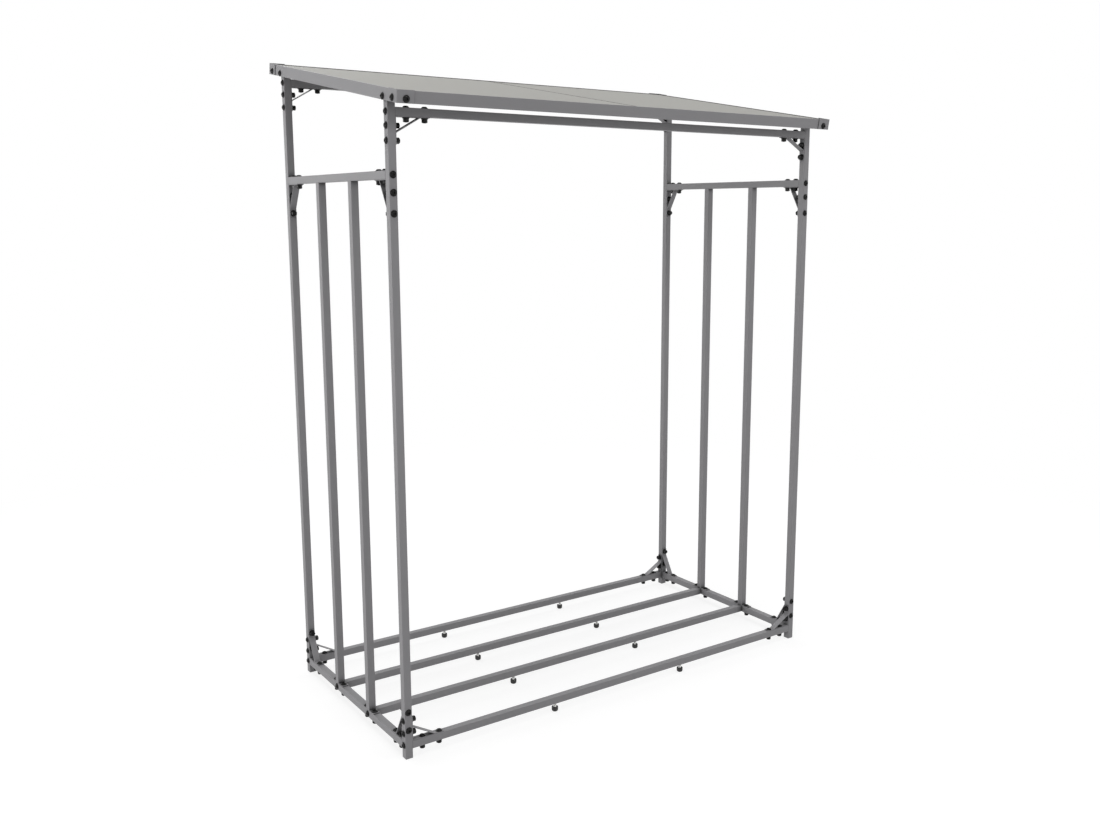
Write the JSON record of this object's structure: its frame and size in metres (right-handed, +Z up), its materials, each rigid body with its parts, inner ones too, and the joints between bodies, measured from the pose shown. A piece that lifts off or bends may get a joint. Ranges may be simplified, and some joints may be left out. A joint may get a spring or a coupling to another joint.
{
  "type": "log store",
  "caption": "Open log store: a bolted frame of square steel tube with barred sides and floor, knee-braced corners, levelling feet and a sloping sheet roof.",
  "frame": {"origin": "on the ground at the middle of the footprint", "axes": "X along the front, from left to right; Y from the open front to the back; Z up"},
  "size_m": [1.4106, 0.8088, 1.7866],
  "materials": {
    "frame_steel": "smooth grey powder-coated square steel tube",
    "brace_steel": "smooth grey powder-coated flat strap",
    "roof_trim": "smooth grey powder-coated folded sheet",
    "roof_sheet": "matt warm grey coated flat sheet",
    "glide_plastic": "black moulded plastic",
    "zinc_steel": "bright zinc-plated thread"
  },
  "bodies": {
    "root": {"post_front_left": "frame_steel", "post_front_right": "frame_steel", "post_back_left": "frame_steel", "post_back_right": "frame_steel", "base_rail_front": "frame_steel", "base_rail_back": "frame_steel", "floor_rail_front": "frame_steel", "floor_rail_back": "frame_steel", "top_rail_front": "frame_steel", "top_rail_back": "frame_steel", "base_side_rail_left": "frame_steel", "base_side_rail_right": "frame_steel", "upper_side_rail_left": "frame_steel", "upper_side_rail_right": "frame_steel", "upright_front_left": "frame_steel", "upright_front_right": "frame_steel", "upright_back_left": "frame_steel", "upright_back_right": "frame_steel", "base_braces_front_left": "brace_steel", "base_braces_front_right": "brace_steel", "base_braces_back_left": "brace_steel", "base_braces_back_right": "brace_steel", "side_brace_front_left": "brace_steel", "side_brace_front_right": "brace_steel", "side_brace_back_left": "brace_steel", "side_brace_back_right": "brace_steel", "top_brace_front_left": "brace_steel", "top_brace_front_right": "brace_steel", "top_brace_back_left": "brace_steel", "top_brace_back_right": "brace_steel", "fascia_front": "roof_trim", "fascia_back": "roof_trim", "fascia_left": "roof_trim", "fascia_right": "roof_trim", "roof_corner_front_left": "roof_trim", "roof_corner_front_right": "roof_trim", "roof_corner_back_left": "roof_trim", "roof_corner_back_right": "roof_trim", "roof_sheet_left": "roof_sheet", "roof_sheet_right": "roof_sheet", "roof_joint_bar": "roof_trim", "foot_glides": "glide_plastic", "foot_studs": "zinc_steel"}
  },
  "joints": []
}
